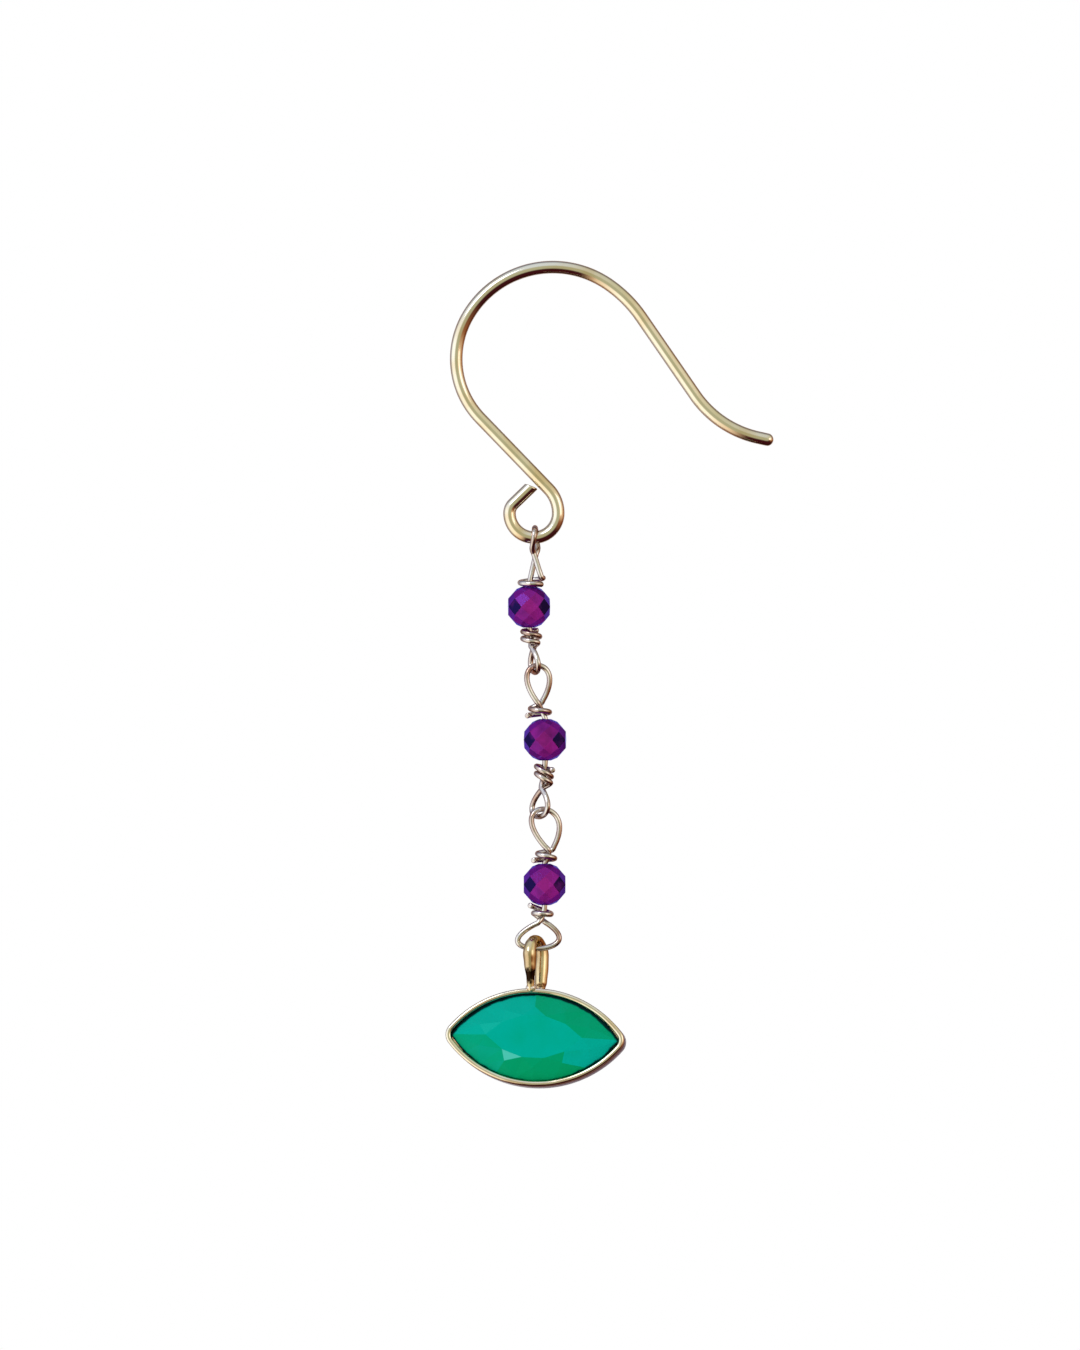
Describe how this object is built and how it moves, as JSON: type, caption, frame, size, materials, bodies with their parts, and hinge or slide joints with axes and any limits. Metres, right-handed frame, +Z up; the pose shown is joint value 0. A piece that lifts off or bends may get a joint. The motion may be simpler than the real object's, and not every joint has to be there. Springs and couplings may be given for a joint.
{
  "type": "drop earring",
  "caption": "Drop earring: French ear wire with a chain of wire-wrapped faceted garnet beads and a bezel-set marquise green stone.",
  "frame": {"origin": "underside of the ear wire's bend, where it sits in the ear's piercing", "axes": "+Z up, +X towards the ear wire's tail as seen in the picture, +Y to the back, away from the stone's face"},
  "size_m": [0.0195, 0.0036, 0.0493],
  "materials": {
    "ear_wire_gold": "polished gold",
    "link_wire_gold": "polished pale gold",
    "bezel_gold": "polished gold",
    "garnet": "faceted transparent stone",
    "green_stone": "faceted, nearly opaque stone"
  },
  "bodies": {
    "hook": {"ear_hook": "ear_wire_gold"},
    "drop": {"top_link": "link_wire_gold", "top_bead": "garnet", "middle_link": "link_wire_gold", "middle_bead": "garnet", "lower_link": "link_wire_gold", "lower_bead": "garnet"},
    "pendant": {"bezel_setting": "bezel_gold", "green_stone": "green_stone"}
  },
  "joints": [
    {"name": "drop_swing", "type": "hinge", "parent": "hook", "child": "drop", "pos_m": [-0.00113, 0, -0.01572], "axis": [1, 0, 0], "range_deg": [-75, 75]},
    {"name": "pendant_swing", "type": "hinge", "parent": "drop", "child": "pendant", "pos_m": [-0.001, 0, -0.04019], "axis": [1, 0, 0], "range_deg": [-45, 75]}
  ]
}
